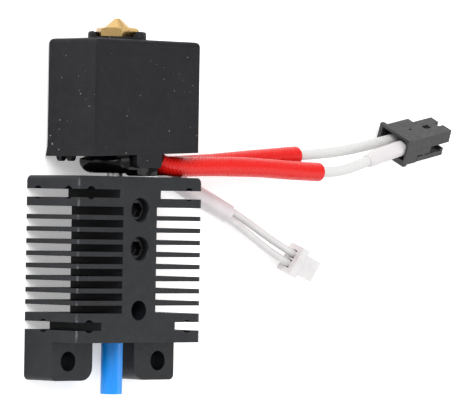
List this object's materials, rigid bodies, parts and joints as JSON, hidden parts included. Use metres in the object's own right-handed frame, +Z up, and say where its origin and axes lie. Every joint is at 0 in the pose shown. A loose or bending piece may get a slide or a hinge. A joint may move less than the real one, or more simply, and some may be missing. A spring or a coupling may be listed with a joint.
{
  "type": "3D printer hotend",
  "caption": "3D printer hotend with a black finned heatsink, socked heater block, brass nozzle, blue feed tube and plugged heater and thermistor leads.",
  "frame": {"origin": "midway between the two ear holes, on the heatsink's back face", "axes": "+X across the heatsink, +Y along the filament path towards the nozzle tip, +Z up out of the heatsink's front face"},
  "size_m": [0.1011, 0.0682, 0.014],
  "materials": {
    "black_anodised": "satin",
    "steel": "satin",
    "dark_steel": "satin",
    "blue_ptfe": "gloss",
    "brass": "satin",
    "block_aluminium": "satin",
    "cartridge_steel": "satin",
    "cartridge_ceramic": "matte",
    "collar_silicone": "satin",
    "sock_silicone": "matte",
    "braided_wire": "matte",
    "red_sleeve": "gloss",
    "white_sleeve": "matte",
    "black_plug": "satin",
    "tinned_contact": "satin",
    "white_wire": "satin",
    "white_shrink": "satin",
    "white_plug": "satin"
  },
  "bodies": {
    "hotend": {"heatsink": "black_anodised", "heatbreak": "steel", "heater_block": "block_aluminium", "heater_cartridge": "cartridge_steel", "cartridge_plug": "cartridge_ceramic", "thermistor": "cartridge_steel", "thermistor_cement": "cartridge_ceramic", "neck_collar": "collar_silicone", "heater_wire_front": "braided_wire", "heater_wire_rear": "braided_wire", "heater_sleeve_front": "red_sleeve", "heater_sleeve_rear": "red_sleeve", "crimp_sleeve": "white_sleeve", "heater_plug_housing": "black_plug", "heater_terminals": "tinned_contact", "thermistor_wire_upper": "white_wire", "thermistor_wire_lower": "white_wire", "thermistor_sleeve": "white_shrink", "thermistor_plug_housing": "white_plug", "thermistor_terminals": "tinned_contact"},
    "sock": {"silicone_sock": "sock_silicone"},
    "nozzle": {"nozzle": "brass"},
    "upper_screw": {"heatbreak_screw_upper": "dark_steel"},
    "lower_screw": {"heatbreak_screw_lower": "dark_steel"},
    "cartridge_screw": {"cartridge_grub_screw": "dark_steel"},
    "feed_tube": {"ptfe_tube": "blue_ptfe"},
    "plug_latch": {"heater_plug_latch": "black_plug"}
  },
  "joints": [
    {"name": "sock_slide", "type": "slide", "parent": "hotend", "child": "sock", "axis": [0, 1, 0], "range_m": [0, 0.03]},
    {"name": "nozzle_turn", "type": "hinge", "parent": "hotend", "child": "nozzle", "pos_m": [0, 0.0575, 0.007], "axis": [0, 1, 0], "range_deg": [0, 360]},
    {"name": "upper_screw_turn", "type": "hinge", "parent": "hotend", "child": "upper_screw", "pos_m": [0, 0.0275, 0.012], "axis": [0, 0, 1], "range_deg": [0, 360]},
    {"name": "lower_screw_turn", "type": "hinge", "parent": "hotend", "child": "lower_screw", "pos_m": [0, 0.0205, 0.012], "axis": [0, 0, 1], "range_deg": [0, 360]},
    {"name": "cartridge_screw_turn", "type": "hinge", "parent": "hotend", "child": "cartridge_screw", "pos_m": [0.0116, 0.0465, 0.0074], "axis": [1, 0, 0], "range_deg": [0, 360]},
    {"name": "tube_slide", "type": "slide", "parent": "hotend", "child": "feed_tube", "axis": [0, -1, 0], "range_m": [0, 0.025]},
    {"name": "latch_flex", "type": "hinge", "parent": "hotend", "child": "plug_latch", "pos_m": [0.07959, 0.04057, 0.00523], "axis": [-0.0956, 0.4517, -0.887], "range_deg": [0, 8], "stiffness_Nm_per_rad": 0.01}
  ]
}
